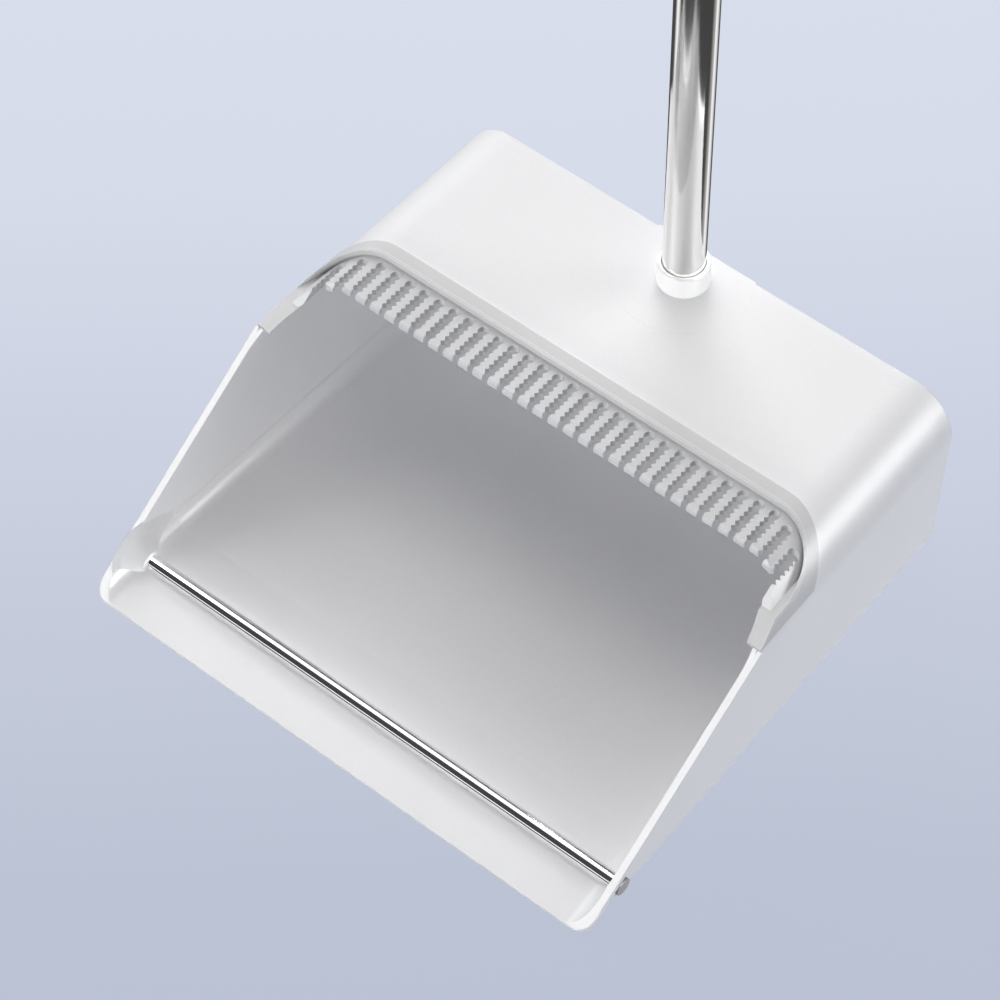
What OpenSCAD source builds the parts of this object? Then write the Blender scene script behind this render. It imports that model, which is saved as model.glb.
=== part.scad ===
// Upright hooded dustpan: a white moulded pan with a comb on the mouth of its hood, a steel
// bar across the lip, and a steel pole that stands in a socket at the back of the hood.
// Millimetres. X runs across the pan, Y from the lip to the back wall, Z up.
// The origin is on the floor under the middle of the pan.

/* [Pan] */
// Depth from the lip's edge to the back wall
pan_depth = 295; // [270:1:320]
// Width of the floor at the lip
floor_w = 311.6; // [290:0.2:330]
// Height of the hood above the floor
hood_h = 109; // [100:1:118]
// Thickness of the moulded walls
wall = 2.4; // [2.2:0.1:3]
// Radius of the two long edges of the hood
hood_r = 29.5; // [24:0.5:34]
// Angle at which each side wall closes toward the back
taper = 1.4; // [0.8:0.1:2]
// Angle at which each side wall leans outward
draft = 2.2; // [1:0.1:3]
// Radius inside, where the floor meets the side walls
floor_fillet = 8; // [6.5:0.5:8.5]
// Slope of the side walls' front edges
rim_slope = 33.5; // [30:0.5:36]
// Radius of the two front corners, seen from above
corner_r = 9; // [5:0.5:12]

/* [Lip and bar] */
// Distance of the bar behind the lip's edge
bar_y = 29.4; // [26:0.2:34]
// Height of the bar's centre
bar_z = 8.6; // [8:0.1:10]
// Diameter of the bar
bar_d = 8; // [6:0.5:9]
// Diameter of the head that holds the bar's end
head_d = 9.4; // [9:0.1:9.8]
// Gap between the bar and its bores in the side walls
bar_clear = 0.06; // [0.02:0.01:0.1]

/* [Comb] */
// Distance from one tooth to the next
tooth_pitch = 9.375; // [9:0.125:9.5]
// Slots on each side of the middle one
side_slots = 15; // [15:1:15]
// Depth of the teeth's tips behind the lip's edge
tip_y = 165.4; // [163:0.2:168]
// Thickness of the comb plate
comb_t = 4; // [3:0.2:5]
// Width of the frame's band round the hood
band_w = 8; // [7:0.5:10]
// Height of that band above the hood
band_rise = 1.4; // [1:0.1:2]

/* [Pole] */
// Diameter of the steel pole
pole_d = 22; // [20:0.5:25]
// Wall of the steel pole
pole_wall = 0.8; // [0.6:0.1:1.2]
// Height of the top of the grip above the floor
total_h = 800; // [650:10:950]
// Distance of the pole's axis behind the lip's edge
pole_y = 275; // [270:1:278]
// Depth to which the pole goes into its socket
socket_depth = 38; // [30:1:45]

/* [Hidden] */
white = [0.93, 0.93, 0.94];
pale = [0.83, 0.84, 0.85];
steel = [0.72, 0.72, 0.73];
grey = [0.72, 0.73, 0.74];
fit = 0.3;                        // gap where one piece rests close to another
edge_t = 0.9;                     // thickness of the lip's edge
bar_r = bar_d / 2;
ridge_y = bar_y + 4;              // top of the ridge just behind the bar
// The floor in side view: lip, ridge, foot of the ridge's back slope, back wall.
floor_line = [[0, edge_t], [ridge_y, 5.8], [ridge_y + 25, wall], [pan_depth, wall]];
// The underside of the ridge in side view, where the moulding is hollowed.
belly_line = [[5, 0], [24, 2.9], [ridge_y + 6.6, 2.9], [ridge_y + 24.6, 0]];
edge_fillets = [9, 11, floor_fillet]; // inner radii beside each stretch of that line
back_r = 2.5;                     // radius of the back wall's edges
blend = 0.1;                      // how far a fillet stops short of the flat faces beside it
foot_r = 1.2;                     // radius of the pan's lower outer edges
rim_out = 1.35;                   // how far the rim stands out from the side wall
rim_deep = 4.2;                   // depth of that rim
rim_z0 = 0.4;                     // height of the rim's line above the lip's edge
clip_y = 132;                     // where the comb frame's clips end on the rim
clip_t = 0.6;                     // height of the clips above the rim
clip_deep = 2.2;                  // depth of the frame's skirt at the clips' ends
kink_y = 146.8;                   // where the clips turn level beside the comb
kink_z = 95;
corner_x = 120.6;                 // centre of the mouth's round corners, seen from above
corner_y = 162.2;
mouth_r = 30;
lead = 12;                        // angle at which those corners run out toward the sides
band_shift = [-1.4, 0.8];         // how far the centre of the band's own corners lies off
web = 1.8;                        // thickness of the frame across the mouth's edge
bead = 0.5;                       // how far that edge stands up along the band
frame_y = corner_y + mouth_r + band_w + 9; // depth behind which the frame has no part
skirt_z = 60;                     // height under which it has none
side_room = floor_w / 2 + 20;     // half of a width that takes in the whole pan
inner_leg = 1.2;                  // thickness of the frame inside the hood
inner_deep = 3;                   // how far that leg reaches in
body_top = hood_h + band_rise;
head_y = 187.4;                   // centre of the slots' round heads
head_r = 2.9;
neck = 2.66;                      // from a head's centre to the first points
notch = 3.38;                     // length of one notch along a slot
half_gap = 1.7;                   // half the slot's width between the points
bite = 1.5;                       // depth of a notch
notches = 5;
setback = [0, 3.2, 10];           // how far the heads of the outer two slots come forward
plate_in = 1.8;                   // how far the comb plate lies under the hood's surface
pole_r = pole_d / 2;
socket_z = hood_h - socket_depth; // where the pole's foot stands
socket_wall = 3;
socket_clear = 0.05;              // running gap of the pole in its socket
collar_h = 13.2;
collar_r = 14;
collar_top_r = 13.4;
collar_gap = 0.35;
spigot = 2;                       // part of the collar that sits in the hood
spigot_r = 13;
boss_rise = 0.4;                  // swelling of the hood under the collar
boss_w = 36;
boss_x = 143.2;                   // where the boss round the bar's left end stops
boss_top_r = 5.6;
boss_foot_r = 7.8;
blind_x = 151.5;                  // how far the blind bore in that boss goes
collar_seat = hood_h + boss_rise;
bar_wall = 0.8;
bar_end = half_w(bar_y, bar_z) + 0.35;
head_t = 1.6;
pin_long = 12;
press = 0.02;                     // gap left round a pressed pin
foot_h = 3;
grip_len = 118;
grip_r = 14;
cap_h = 18;
cap_t = 12;
plug_h = 15;
grip_top = total_h - cap_h;
tube_top = grip_top - 0.3;
hang_r = 4.5;                     // radius of the hole to hang it by
hang_z = cap_h - grip_r + 3;      // height of that hole above the cap's foot

// Half the outer width of the pan at depth y and height z.
function half_w(y, z) = floor_w / 2 - y * tan(taper) + z * tan(draft);

// Distance of a side wall's line from its outer foot, at height z and g outside the wall.
function wall_x(z, g) = z * tan(draft) + g / cos(draft);

// Height of the straight front edge of a side wall.
function rim_z(y) = rim_z0 + y * tan(rim_slope);

// Height of the pan's floor inside, at depth y.
function floor_z(y) = lookup(y, floor_line);

module place() {
    translate([0, -pan_depth / 2, 0]) children();
}

// A shape drawn in side view (Y across, Z up), run right across the pan.
module across(w = 2 * floor_w) {
    rotate([90, 0, 90]) translate([0, 0, -w / 2]) linear_extrude(w) children();
}

// A cross section with its origin at the wall's outer foot, run along both side walls.
module along_walls(y0, y1) {
    for (s = [0, 1])
        mirror([s, 0, 0]) intersection() {
            translate([floor_w / 2, 0, 0]) rotate([0, 0, taper]) translate([0, y1 + 20, 0])
                rotate([90, 0, 0]) linear_extrude(y1 - y0 + 40) children();
            translate([0, y0, -50]) cube([200, y1 - y0, 250]);
        }
}

// Half cross section of the pan: g outside the walls, from height z with a foot of radius r.
module half_section(g, z, r) {
    n = [cos(draft), -sin(draft)];
    top = [wall_x(hood_h - hood_r, -hood_r), hood_h - hood_r];
    foot = [wall_x(z + r, g - r), z + r];
    translate(top) circle(r = hood_r + g, $fn = 180);
    translate(foot) circle(r = r, $fn = 96);
    polygon([[-170, z], [foot.x, z], foot, foot + r * n, top + (hood_r + g) * n, top,
             [top.x, hood_h + g], [-170, hood_h + g]]);
}

// Corner filling with a hollow of radius r, for a floor that meets a wall leaning outward.
module corner_fill(r) {
    difference() {
        polygon([[2, -1], [2, 1.2 * r], [0, 1.2 * r], [-1.2 * r, 0], [-1.2 * r, -1]]);
        translate([r * tan(draft) - r / cos(draft), r]) circle(r = r, $fn = 120);
        polygon([[-1.3 * r, 0], [-r, 0], [-r, r], [0, r], [0, 1.3 * r], [-1.3 * r, 1.3 * r]]);
    }
}

// The same filling of radius r along the floor's edges from depth y0 to y1.
module floor_edges(y0, y1, r) {
    a = atan((floor_z(y1) - floor_z(y0)) / (y1 - y0));
    for (s = [0, 1])
        mirror([s, 0, 0]) intersection() {
            translate([half_w(y0, floor_z(y0)) - wall / cos(draft), y0, floor_z(y0)])
                rotate([0, 0, taper]) rotate([90 + a, 0, 0]) translate([0, 0, y0 - y1 - 20])
                    linear_extrude(y1 - y0 + 40) corner_fill(r);
            translate([0, y0, -50]) cube([200, y1 - y0, 250]);
        }
}

// What is left solid inside the pan's hollow: the floor, its ramp, and the filled corners.
module floor_solid() {
    across() polygon(concat(floor_line, [[pan_depth, -10], [0, -10]]));
    for (i = [0:len(floor_line) - 2])
        floor_edges(floor_line[i].x, floor_line[i + 1].x, edge_fillets[i]);
    translate([0, pan_depth - wall, wall]) across() corner_fill(floor_fillet - 2);
}

// The hollow of the pan.
module hollow() {
    difference() {
        along_walls(-1, pan_depth - wall) half_section(-wall, -5, 1);
        floor_solid();
    }
    translate([0, bar_y, bar_z]) rotate([0, 90, 0])
        cylinder(r = bar_r + fit, h = 2 * (half_w(bar_y, bar_z) - wall), center = true, $fn = 96);
}

// The space under the ridge, where the moulding lifts off the ground.
module belly() {
    across() polygon(concat(belly_line, [[ridge_y + 24.6, -5], [5, -5]]));
}

// The rim that stands out along the front edge of each side wall.
module rim_band() {
    n = rim_deep * [sin(rim_slope), -cos(rim_slope)];
    top = [clip_y - 0.2, rim_z(clip_y - 0.2)];
    intersection() {
        along_walls(0, clip_y + 10) polygon([[wall_x(0, -1), 0], [wall_x(0, rim_out), 0],
            [wall_x(110, rim_out), 110], [wall_x(110, -1), 110]]);
        across() polygon([[0, 0], [0, rim_z(0)], top, top + n, [-(rim_z0 / tan(rim_slope)), 0] + n]);
    }
}

// The mouth of the hood seen from above, grown by d and with its corners moved by k.
module mouth_plan(d, k = [0, 0]) {
    c = [corner_x, corner_y] + k;
    r = mouth_r + d;
    for (s = [0, 1])
        mirror([s, 0]) {
            translate(c) circle(r = r, $fn = 180);
            translate([-1, 0]) square([c.x + 1, c.y + r]);
            polygon([[-1, -20], [half_w(0, 0) + 9, -20], [half_w(0, 0) + 9, kink_y + 1],
                     c + [r + 2.4, -5], c + r * [cos(lead), sin(lead)], [-1, c.y + r * sin(lead)]]);
        }
}

// The mouth as a body: everything over the clips and over the level edges beside the comb,
// grown by d, and by e at the clips' ends. It reaches forward to depth y0 and height z0.
module mouth(d, e, front, k = [0, 0]) {
    intersection() {
        across() polygon(concat(front, [[clip_y, rim_z(clip_y) + clip_t - e],
            [kink_y, kink_z - d], [pan_depth, kink_z - d], [pan_depth, body_top + 9]]));
        translate([0, 0, edge_t - 1]) linear_extrude(body_top + 20) mouth_plan(d, k);
    }
}

// Everything above and in front of the mouth, which the moulding leaves open.
module mouth_cut() {
    edge_y = (edge_t - rim_z0) / tan(rim_slope);
    mouth(web + 0.1, web + 0.1, [[-10, body_top + 9], [-10, edge_t], [edge_y, edge_t],
                                 [clip_y - 0.2, rim_z(clip_y - 0.2)]]);
}

// Rounds the two front corners, seen from above.
module corner_cut() {
    for (s = [0, 1])
        mirror([s, 0, 0]) translate([half_w(0, 0) + rim_out - corner_r, corner_r, -1])
            difference() {
                translate([0, -corner_r - 5, 0]) cube([corner_r + 5, corner_r + 5, 40]);
                cylinder(r = corner_r, h = 40, $fn = 96);
            }
}

// Cross section of what the rounding of an edge takes away, seen along the edge.
module edge_cut() {
    difference() {
        square(back_r + 1);
        circle(r = back_r + blend, $fn = 60);
    }
}

// Rounds the straight edges of the back wall. The roundings run out where the hood curves.
module back_edges() {
    cx = half_w(pan_depth, hood_h - hood_r) - hood_r;
    translate([0, pan_depth - back_r, hood_h - back_r]) across(2 * cx + 40) edge_cut();
    for (s = [0, 1])
        mirror([s, 0, 0])
            translate([half_w(pan_depth, 0) - back_r, pan_depth - back_r, -1])
                rotate([0, draft, 0]) linear_extrude(hood_h - hood_r + 20) edge_cut();
}

// The swelling of the hood round the collar, hollowed outward.
module boss() {
    flare = (pow(boss_w - collar_r, 2) + pow(boss_rise, 2)) / (2 * boss_rise);
    intersection() {
        translate([0, pole_y, 0]) rotate_extrude($fn = 96) difference() {
            translate([0, hood_h - wall]) square([boss_w, wall + boss_rise]);
            translate([boss_w, hood_h + flare]) circle(r = flare, $fn = 720);
        }
        translate([-50, 0, 0]) cube([100, pan_depth - 0.1, 200]);
    }
}

// The boss on the left wall that takes the bar's left end.
module bar_boss() {
    foot_x = half_w(bar_y, bar_z) - wall + 0.5;
    translate([-foot_x, bar_y, bar_z]) rotate([0, 90, 0])
        cylinder(r1 = boss_foot_r, r2 = boss_top_r, h = foot_x - boss_x, $fn = 96);
}

// The tube moulded under the hood for the pole, with its three ribs.
module socket_tube() {
    r = pole_r + socket_wall;
    translate([0, pole_y, socket_z - wall]) cylinder(r = r, h = socket_depth + wall - 1, $fn = 96);
    for (s = [0, 1])
        mirror([s, 0, 0]) translate([r - 1, pole_y - 1, socket_z]) cube([16, 2, socket_depth - 1]);
    translate([-1, pole_y + r - 1, socket_z])
        cube([2, pan_depth - wall + 0.5 - pole_y - r + 1, socket_depth - 1]);
}

module pan_shell() {
    color(white) place() difference() {
        union() {
            difference() {
                union() {
                    along_walls(0, pan_depth) half_section(0, 0, foot_r);
                    rim_band();
                }
                hollow();
                back_edges();
            }
            boss();
            socket_tube();
            bar_boss();
        }
        mouth_cut();
        corner_cut();
        belly();
        translate([0, pole_y, socket_z])
            cylinder(r = pole_r + socket_clear, h = socket_depth + 20, $fn = 96);
        translate([0, pole_y, collar_seat - spigot - 0.1])
            cylinder(r = spigot_r + 0.1, h = 20, $fn = 96);
        translate([-blind_x, bar_y, bar_z]) rotate([0, 90, 0])
            cylinder(r = bar_r + bar_clear, h = floor_w, $fn = 96);
    }
}

// One slot between two teeth, with its round head at the origin, opening toward -Y.
module slot() {
    side = [for (i = [0:notches]) each [
        [half_gap, -neck - i * notch],
        [half_gap + (i < notches ? bite : 0), -neck - (i + 0.5) * notch]]];
    circle(r = head_r, $fn = 48);
    polygon(concat([[-half_gap, -1], [half_gap, -1]], side, [[half_gap, -40], [-half_gap, -40]],
                   [for (i = [len(side) - 1:-1:0]) [-side[i].x, side[i].y]]));
}

// The plate's outline seen from above, with all its slots.
module comb_plan() {
    out_x = tooth_pitch * side_slots;
    in_x = out_x - tooth_pitch;
    step_y = tip_y - 2.4;
    difference() {
        polygon([[-side_room, frame_y], [-side_room, kink_y - 7], [-out_x, kink_y - 7],
                 [-out_x, step_y], [-in_x, step_y], [-in_x, tip_y], [in_x, tip_y], [in_x, step_y],
                 [out_x, step_y], [out_x, kink_y - 7], [side_room, kink_y - 7], [side_room, frame_y]]);
        for (k = [-side_slots:side_slots])
            translate([k * tooth_pitch, head_y - max(0, setback[max(0, abs(k) - side_slots + 2)])])
                slot();
    }
}

// Half cross section of the comb plate, which follows the hood's rounded corners.
module plate_section() {
    difference() {
        half_section(-plate_in, skirt_z, 1);
        half_section(-plate_in - comb_t, skirt_z - 9, 1);
    }
}

module comb_plate() {
    intersection() {
        along_walls(kink_y - 7, frame_y) plate_section();
        translate([0, 0, skirt_z]) linear_extrude(hood_h) comb_plan();
        frame_mouth(0.5, 0.5);
        across() polygon([[kink_y, kink_z - 1.5], [frame_y, kink_z - 1.5], [frame_y, body_top + 9],
                          [tip_y + 1.2, body_top + 9], [tip_y + 1.2, hood_h - plate_in],
                          [tip_y, hood_h - plate_in - 1.2]]);
    }
}

// The mouth where the frame runs along it.
module frame_mouth(d, e, k = [0, 0]) {
    mouth(d, e, [[clip_y - 1, body_top + 9], [clip_y - 1, rim_z(clip_y) + clip_t - e]], k);
}

// A strip of the frame between g0 and g1 outside the walls, as wide as d round the mouth
// and as e at the clips' ends.
module frame_strip(g0, g1, d, e, k = [0, 0]) {
    difference() {
        intersection() {
            along_walls(clip_y, frame_y) difference() {
                half_section(g1, skirt_z, 1);
                half_section(g0, skirt_z - 9, 1);
            }
            frame_mouth(d, e, k);
        }
        frame_mouth(0, 0);
    }
}

module comb_frame() {
    color(pale) place() {
        frame_strip(0, band_rise, band_w, clip_deep, band_shift);
        frame_strip(-plate_in - comb_t, band_rise + bead, web, web);
        frame_strip(-wall - inner_leg, -wall, inner_deep, clip_deep);
        comb_plate();
    }
}

module pole_collar() {
    r = pole_r + collar_gap;
    color("white") place() translate([0, pole_y, collar_seat]) rotate_extrude($fn = 128)
        polygon([[r, -spigot], [spigot_r, -spigot], [spigot_r, 0], [collar_r, 0], [collar_r, 1.5],
                 [collar_top_r, collar_h - 0.6], [collar_top_r - 0.6, collar_h],
                 [r + 0.5, collar_h], [r, collar_h - 0.5]]);
}

module front_bar() {
    long = bar_end + blind_x - fit;
    color(steel) place() translate([bar_end - long, bar_y, bar_z]) rotate([0, 90, 0]) difference() {
        cylinder(r = bar_r, h = long, $fn = 96);
        translate([0, 0, -1]) cylinder(r = bar_r - bar_wall, h = long + 2, $fn = 96);
    }
}

// The pin pressed into the bar's right end, whose head holds the bar in its boss.
module bar_end_pin() {
    color(grey) place() translate([bar_end, bar_y, bar_z]) rotate([0, 90, 0]) {
        cylinder(r = head_d / 2, h = head_t, $fn = 96);
        translate([0, 0, -pin_long]) cylinder(r = bar_r - bar_wall - press, h = pin_long + 0.5, $fn = 96);
    }
}

module pole_tube() {
    color(steel) place() translate([0, pole_y, socket_z + fit + foot_h]) difference() {
        cylinder(r = pole_r, h = tube_top - socket_z - fit - foot_h, $fn = 128);
        translate([0, 0, -1]) cylinder(r = pole_r - pole_wall, h = total_h, $fn = 128);
    }
}

// Plastic plug that closes the lower end of the pole.
module pole_foot() {
    r = pole_r - pole_wall - 0.05;
    color(grey) place() translate([0, pole_y, socket_z + fit]) rotate_extrude($fn = 96)
        polygon([[0, 0], [pole_r - 1, 0], [pole_r, 1], [pole_r, foot_h], [r, foot_h],
                 [r, foot_h + 14], [r - 1, foot_h + 15], [0, foot_h + 15]]);
}

module hand_grip() {
    color(grey) place() translate([0, pole_y, grip_top - grip_len]) rotate_extrude($fn = 128)
        polygon([[pole_r + 0.05, 0], [grip_r - 1, 0], [grip_r, 1], [grip_r, grip_len],
                 [pole_r + 0.05, grip_len]]);
}

// Cap on the top of the pole, with a hole to hang it by.
module grip_end_cap() {
    color(grey) place() translate([0, pole_y, grip_top]) difference() {
        union() {
            intersection() {
                cylinder(r = grip_r, h = cap_h, $fn = 128);
                translate([0, cap_t / 2, 0]) rotate([90, 0, 0]) linear_extrude(cap_t) {
                    translate([0, cap_h - grip_r]) circle(r = grip_r, $fn = 128);
                    translate([-grip_r, -5]) square([2 * grip_r, cap_h - grip_r + 5]);
                }
            }
            cylinder(r = grip_r, h = 2, $fn = 128);
            translate([0, 0, -plug_h]) cylinder(r = pole_r - pole_wall - 0.05, h = plug_h + 0.5, $fn = 96);
        }
        translate([0, cap_t, hang_z]) rotate([90, 0, 0])
            cylinder(r = hang_r, h = 2 * cap_t, $fn = 96);
    }
}

pan_shell();
comb_frame();
pole_collar();
front_bar();
bar_end_pin();
pole_tube();
pole_foot();
hand_grip();
grip_end_cap();
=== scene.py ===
import math

import bpy
from mathutils import Matrix, Vector


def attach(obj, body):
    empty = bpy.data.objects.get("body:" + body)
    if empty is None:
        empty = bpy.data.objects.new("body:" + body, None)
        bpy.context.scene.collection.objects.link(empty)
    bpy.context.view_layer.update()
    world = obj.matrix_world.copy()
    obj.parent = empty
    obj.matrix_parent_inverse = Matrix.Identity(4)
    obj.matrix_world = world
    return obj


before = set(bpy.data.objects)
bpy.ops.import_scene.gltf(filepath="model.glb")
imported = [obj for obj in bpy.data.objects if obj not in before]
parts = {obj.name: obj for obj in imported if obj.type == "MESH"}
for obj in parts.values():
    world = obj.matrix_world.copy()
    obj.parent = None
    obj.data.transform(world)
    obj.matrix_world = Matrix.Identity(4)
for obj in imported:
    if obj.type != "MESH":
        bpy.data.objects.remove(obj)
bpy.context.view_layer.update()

# Pan: one injection moulding in white polypropylene, with a fine spark-eroded grain that
# scatters the light. Floor, side walls, back wall and hood are all one piece.


class Flow:
    """A shader socket that can be added, multiplied and so on like a number."""

    def __init__(self, tree, socket=None):
        self.tree, self.socket = tree, socket

    def node(self, kind, settings=None, sockets=None, out=0):
        """Adds any node: its settings first, then its sockets, and returns one output.

        The setting stops gives a colour ramp's places and colours."""
        made = self.tree.nodes.new(kind)
        for name, value in (settings or {}).items():
            if name == "stops":
                for i, (at, colour) in enumerate(value):
                    elements = made.color_ramp.elements
                    stop = elements[i] if i < 2 else elements.new(at)
                    stop.position, stop.color = at, colour
            else:
                setattr(made, name, value)
        for name, value in (sockets or {}).items():
            if isinstance(value, Flow):
                self.tree.links.new(value.socket, made.inputs[name])
            else:
                made.inputs[name].default_value = value
        return Flow(self.tree, made.outputs[out])

    def beside(self, out):
        """Another output of the node that this one comes from."""
        return Flow(self.tree, self.socket.node.outputs[out])

    def feed(self, socket):
        self.tree.links.new(self.socket, socket)

    def math(self, how, *values):
        return self.node("ShaderNodeMath", {"operation": how}, dict(enumerate(values)))

    def __add__(self, other): return self.math("ADD", self, other)
    def __radd__(self, other): return self.math("ADD", other, self)
    def __sub__(self, other): return self.math("SUBTRACT", self, other)
    def __rsub__(self, other): return self.math("SUBTRACT", other, self)
    def __mul__(self, other): return self.math("MULTIPLY", self, other)
    def __rmul__(self, other): return self.math("MULTIPLY", other, self)
    def __truediv__(self, other): return self.math("DIVIDE", self, other)
    def __rtruediv__(self, other): return self.math("DIVIDE", other, self)
    def above(self, other): return self.math("GREATER_THAN", self, other)
    def within(self, low, high): return self.above(low) * (1 - self.above(high))

    def ramp(self, low, high, start=0.0, end=1.0):
        """Runs smoothly from start to end while this value goes from low to high."""
        return self.node("ShaderNodeMapRange", {"interpolation_type": "SMOOTHSTEP"},
                         {0: self, 1: low, 2: high, 3: start, 4: end})

    def mix(self, first, second):
        """Goes from the first colour to the second as this value goes from 0 to 1."""
        return self.node("ShaderNodeMix", {"data_type": "RGBA"},
                         {0: self, 6: first, 7: second}, 2)

    def dot(self, other):
        return self.node("ShaderNodeVectorMath", {"operation": "DOT_PRODUCT"},
                         {0: self, 1: other}, 1)


def material(name, colour, roughness, **constants):
    """A principled material, its shader, and a Flow over object coordinates in metres."""
    made = bpy.data.materials.new(name)
    made.use_nodes = True
    shader = made.node_tree.nodes["Principled BSDF"]
    shader.inputs["Base Color"].default_value = (*colour, 1)
    shader.inputs["Roughness"].default_value = roughness
    for key, value in constants.items():
        shader.inputs[key.replace("_", " ")].default_value = value
    return made, shader, Flow(made.node_tree).node("ShaderNodeTexCoord", out=3)


def grained(name, colour, roughness, pits, depth, height=0.0001, spread=0.02, edge=0.0,
            painted_light=False, **constants):
    """A surface with fine grain: bump, uneven gloss and a trace of tone.

    pits is the grain's scale per metre, depth and height are the bump's strength and its
    distance in metres, and spread is how far the tone strays. The edges are drawn as if broken
    to the radius edge, in metres. If asked, the colour also gets a painted highlight on the
    edges and painted shade in the hollows."""
    made, shader, place = material(name, colour, roughness, **constants)
    blotches, uneven = 14.0, 0.12
    fine = place.node("ShaderNodeTexNoise", None,
                      {"Vector": place, "Scale": pits, "Detail": 2.0, "Roughness": 0.6})
    wide = place.node("ShaderNodeTexNoise", None,
                      {"Vector": place, "Scale": blotches, "Detail": 2.0, "Roughness": 0.5})
    bump = {"Height": fine, "Strength": depth, "Distance": height}
    if edge:
        broken = place.node("ShaderNodeBevel", {"samples": 4}, {"Radius": edge})
        bump["Normal"] = broken
    low = (*(c * (1 - spread) for c in colour), 1)
    high = (*(min(1.0, c * (1 + spread)) for c in colour), 1)
    paint = (fine * 0.7 + wide * 0.3).ramp(0.3, 0.7).mix(low, high)
    # Painted shade: ambient occlusion darkens the hollows. Painted highlight: the edges are
    # lightened.
    if painted_light:
        hollow_reach, painted_shade_tone, painted_highlight = 0.003, 0.35, (0.99, 0.99, 1.0, 1)
        flat = broken.dot(place.node("ShaderNodeNewGeometry", out=1))
        open_air = place.node("ShaderNodeAmbientOcclusion", {"samples": 8, "only_local": True},
                              {"Distance": hollow_reach}, 1)
        shaded = place.node("ShaderNodeMix", {"data_type": "RGBA", "blend_type": "MULTIPLY"},
                            {0: 1.0, 6: paint, 7: open_air.ramp(0.15, 0.7, painted_shade_tone, 1.0)}, 2)
        corner = flat.ramp(0.85, 0.99, 1.0, 0.0) * open_air.ramp(0.4, 0.7)
        paint = corner.mix(shaded, painted_highlight)
    place.node("ShaderNodeBump", None, bump).feed(shader.inputs["Normal"])
    (roughness + (fine - 0.5) * uneven).feed(shader.inputs["Roughness"])
    paint.feed(shader.inputs["Base Color"])
    return made


def dress(name, made):
    for slot in parts[name].material_slots:
        slot.material = made


# The pan's colour carries a painted highlight on its edges and painted shade in its hollows.
dress("pan_shell", grained("white moulding", (0.86, 0.86, 0.875), 0.38, pits=1400.0, depth=0.25,
                           height=0.0002, edge=0.0007, painted_light=True))

# Swelling of the left wall round the bar's end: part of the same moulding, where the wall runs
# out softly to the face of the boss that the bar turns in. It is coloured a darker white, which
# is painted shade, and given a duller gloss.
bar_y, bar_z = -0.1181, 0.0086
lip_y, inner_half = -0.1475, 0.1534  # the lip's front edge, and half the inner width there
wall_lean = math.tan(math.radians(2.2))  # the walls lean out as they rise
wall_close = math.tan(math.radians(1.4))  # and close in toward the back
foot_z = 0.002  # the swelling ends just under the floor's surface
face_radius, draw_out = 0.0056, 70  # outside its round face it is drawn out toward the back
# Distance from the bar's axis and height off the wall, from the bore outward, in metres.
profile = [(0.00412, 0.0096), (0.0045, 0.00985), (0.0050, 0.0099), (0.0056, 0.00975),
           (0.0063, 0.0091), (0.0072, 0.0078), (0.0083, 0.0058), (0.0097, 0.0037),
           (0.0114, 0.0020), (0.0134, 0.0009), (0.0156, 0.0002), (0.0175, -0.0005)]
rays, rings = 72, len(profile)
points, faces = [], []
for i in range(rays):
    side, rise = math.cos(math.tau * i / rays), math.sin(math.tau * i / rays)
    room = (bar_z - foot_z) / -rise if rise < 0 else 1.0
    for out, proud in profile:
        out = min(out, room)
        draw = 1 + max(side, 0) * max(out - face_radius, 0) * draw_out
        y, z = bar_y + out * side * draw, bar_z + out * rise
        inner = inner_half - (y - lip_y) * wall_close + z * wall_lean
        points.append((proud - inner, y, z))
    here, after = i * rings, (i + 1) % rays * rings
    faces += [(here + k, here + k + 1, after + k + 1, after + k) for k in range(rings - 1)]
mesh = bpy.data.meshes.new("bar_end_swelling")
mesh.from_pydata(points, [], faces)
mesh.validate()
mesh.polygons.foreach_set("use_smooth", [True] * len(mesh.polygons))
# A darker copy of the white moulding, which is painted shade, with less gloss.
mesh.materials.append(grained("white moulding with painted shade", (0.77, 0.77, 0.78), 0.6, pits=1400.0,
                              depth=0.25, height=0.0002, Specular_IOR_Level=0.2))
swelling = bpy.data.objects.new("bar_end_swelling", mesh)
bpy.context.scene.collection.objects.link(swelling)
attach(swelling, "pan")

# Comb and clips: a separate frame in smoother pale grey plastic, pushed over the hood's edge
# until its band lies outside and its leg inside. The teeth are moulded with sharp edges. Its
# colour carries a painted highlight on the edges and painted shade in the hollows.
dress("comb_frame", grained("pale grey moulding", (0.65, 0.65, 0.66), 0.38, pits=900.0,
                            depth=0.08, spread=0.01, edge=0.0005, painted_light=True))

# Collar: a ring of gloss white plastic, polished in its mould and pressed into the hood
# round the pole.
dress("pole_collar", grained("gloss white ring", (0.96, 0.96, 0.96), 0.2, pits=300.0,
                             depth=0.03, spread=0.005, edge=0.0004, Coat_Weight=0.5))

# Bar across the lip: a thin drawn tube, chromed, that turns in bores in the side walls.
# The drawing has left faint lines along it under the plating.


def drawn(name, colour, roughness, lines, detail, depth, uneven):
    """Metal with faint lines along its length. lines is their scale along each axis."""
    made, shader, place = material(name, colour, roughness, Metallic=1.0)
    along = place.node("ShaderNodeMapping", None, {"Vector": place, "Scale": lines})
    scored = place.node("ShaderNodeTexNoise", None,
                        {"Vector": along, "Scale": 1.0, "Detail": detail})
    bump = place.node("ShaderNodeBump", None,
                      {"Height": scored, "Strength": depth, "Distance": 0.0001})
    bump.feed(shader.inputs["Normal"])
    (scored * uneven + roughness).feed(shader.inputs["Roughness"])
    return made


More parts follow.
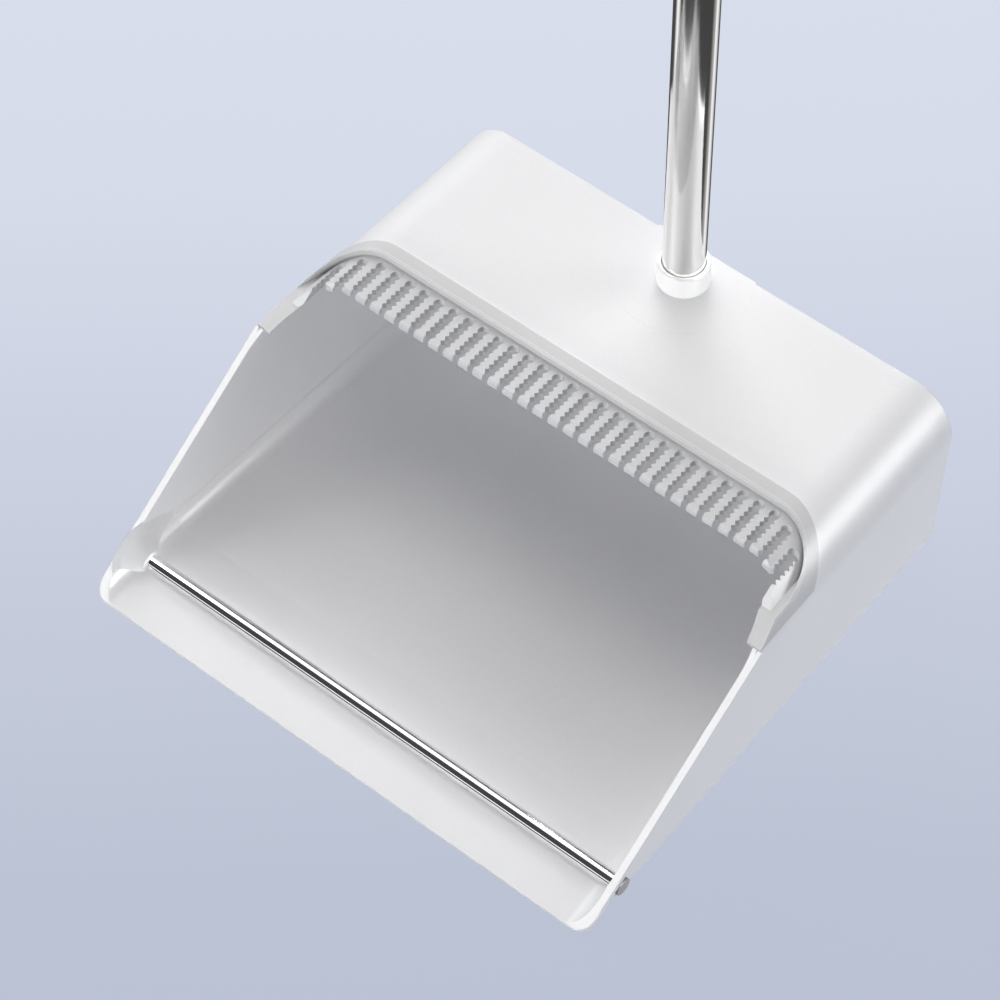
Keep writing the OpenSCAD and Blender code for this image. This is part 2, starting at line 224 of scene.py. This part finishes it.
dress("front_bar", drawn("chrome", (0.86, 0.86, 0.87), 0.03, lines=(6.0, 900.0, 900.0),
                         detail=2.0, depth=0.01, uneven=0.06))

# Pin in the bar's right end: turned from steel, with a broken edge, and pressed in from
# outside the wall so that its head holds the bar in place.
dress("bar_end_pin", grained("turned steel", (0.3, 0.3, 0.31), 0.32, pits=700.0, depth=0.05,
                             spread=0.03, edge=0.0004, Metallic=0.8))

# Plug in the pole's foot: a moulding in dull grey plastic, pushed into the tube's lower end.
# It guides the pole in its socket.
dress("pole_foot", grained("dull grey plastic", (0.16, 0.16, 0.165), 0.45, pits=1200.0,
                           depth=0.1))

# Pole: a stainless steel tube, polished along its length after it was drawn. It stands in
# the socket under the hood and lifts out.
dress("pole_tube", drawn("polished steel", (0.74, 0.735, 0.725), 0.05,
                         lines=(1200.0, 1200.0, 3.0), detail=3.0, depth=0.05, uneven=0.12))

# Grip and its end cap: satin light grey plastic. The sleeve is slid over the top of the
# pole, and the cap, with its hanging hole, is pressed in after it.
satin = grained("satin grey plastic", (0.55, 0.56, 0.58), 0.42, pits=1300.0, depth=0.2,
                height=0.0002)
dress("hand_grip", satin)
dress("grip_end_cap", satin)

# Floor: a matt sheet that carries its own pale tone, lighter away from the viewer, so that no
# lamp has to light it. Polished metal doesn't see it.


def linear(*tones):
    """A colour given in display tones from 0 to 255, as the shaders count it."""
    return (*(((tone / 255 + 0.055) / 1.055) ** 2.4 for tone in tones), 1)


away = Vector((-0.638, 0.770, 0))
fade = [(-0.42, (181, 188, 206)), (-0.19, (185, 192, 209)), (0.02, (197, 203, 219)),
        (0.25, (211, 217, 231)), (0.52, (215, 221, 235))]  # metres along away, and the tones
near_end = fade[0][0]
span = fade[-1][0] - near_end
sheet, shader, place = material("floor", (0.02, 0.02, 0.022), 1.0, Specular_IOR_Level=0.0,
                                Emission_Strength=1.0)
pale = place.node("ShaderNodeValToRGB",
                  {"stops": [((at - near_end) / span, linear(*tones)) for at, tones in fade]},
                  {"Fac": (place.dot(away) - near_end) / span})
pale.feed(shader.inputs["Emission Color"])
bpy.ops.mesh.primitive_circle_add(vertices=64, radius=9, fill_type="NGON",
                                  location=(0, 0, -0.0004))
floor = bpy.context.object
floor.name = "floor"
floor.data.materials.append(sheet)
floor.visible_glossy = False

# Screens round the studio, which only gloss sees: bright bands across the room above the
# floor's level and upright panels below it. The camera sees an even pale wall.
world = bpy.data.worlds.new("studio")
bpy.context.scene.world = world
world.use_nodes = True
sky = Flow(world.node_tree)
background = world.node_tree.nodes["Background"]
to_camera = sky.node("ShaderNodeLightPath", out="Is Camera Ray")
axes = sky.node("ShaderNodeSeparateXYZ", None, {0: sky.node("ShaderNodeTexCoord", out=0)})
x, y, z = (axes.beside(i) for i in range(3))
turn = z.math("ARCTAN2", z, y) * (180 / math.pi)  # degrees about X, from the back upward
bearing = y.math("ARCTAN2", y, x) * (180 / math.pi)  # degrees about Z, from the right


def panel(angle, middle, reach):
    """1 at the middle angle, falling smoothly to 0 at reach degrees from it."""
    return (angle - middle).math("ABSOLUTE", angle - middle).ramp(0, reach, 1.0, 0.0)


bands = 0.06 + turn.within(52, 102) * 1.4 + turn.within(168, 180) * 1.2
panels = 0.07 + panel(bearing, 63, 34) * 1.1 + panel(bearing, -155, 22) * 1.2
screens = z.above(0) * bands + (1 - z.above(0)) * panels
wall = to_camera.mix((0, 0, 0, 1), linear(215, 221, 235))
to_camera.beside("Is Glossy Ray").mix(wall, screens).feed(background.inputs["Color"])
background.inputs["Strength"].default_value = 1.0

# Soft boxes: large lamps far away, those in the first list seen only by matt surfaces and
# those in the second only in gloss. Each row is a bearing, a height and a width in degrees,
# and a strength.
matt_boxes = [(270, 6, 12, 0.53), (330, 6, 12, 0.11), (45, 22, 40, 0.31), (135, 22, 40, 0.64),
              (0, 50, 40, 0.06), (120, 50, 40, 0.27), (180, 50, 40, 0.165), (90, 80, 30, 0.096)]
gloss_boxes = [(0, 20, 30, 3.1), (30, 20, 30, 0.7), (180, 50, 30, 0.45), (270, 20, 30, 0.77),
               (237, 46, 20, 0.72)]
for i, (heading, height, width, strength) in enumerate(matt_boxes + gloss_boxes):
    lamp = bpy.data.lights.new("soft box", "SUN")
    lamp.angle = math.radians(width)
    lamp.energy = strength * math.pi
    box = bpy.data.objects.new("soft box", lamp)
    bpy.context.scene.collection.objects.link(box)
    heading, height = math.radians(heading), math.radians(height)
    toward = Vector((math.cos(heading) * math.cos(height), math.sin(heading) * math.cos(height),
                     math.sin(height)))
    box.rotation_euler = toward.to_track_quat("Z", "Y").to_euler()
    box.visible_glossy = i >= len(matt_boxes)
    box.visible_diffuse = i < len(matt_boxes)
# The last box brightens the rims of the walls, and is kept out of the bar's dark band.
unlit = bpy.data.collections.new("not lit by the last box")
unlit.objects.link(parts["front_bar"])
unlit.collection_objects[0].light_linking.link_state = "EXCLUDE"
box.light_linking.receiver_collection = unlit

# Camera: a long lens above the right front corner, looking down into the pan and rolled so
# that the pole stands nearly upright.
camera = bpy.data.cameras.new("camera")
camera.lens = 136.64
camera.sensor_width = 36.0
camera.clip_end = 30.0
eye = bpy.data.objects.new("camera", camera)
bpy.context.scene.collection.objects.link(eye)
stand = Vector((0.69891, -0.86015, 1.55513))
right = Vector((0.775235, 0.631643, -0.006048))
up = Vector((-0.504936, 0.625420, 0.594886))
turned_to = Matrix((right, up, right.cross(up))).transposed().to_4x4()
eye.matrix_world = Matrix.Translation(stand) @ turned_to
bpy.context.scene.camera = eye
bpy.context.scene.view_settings.view_transform = "Standard"
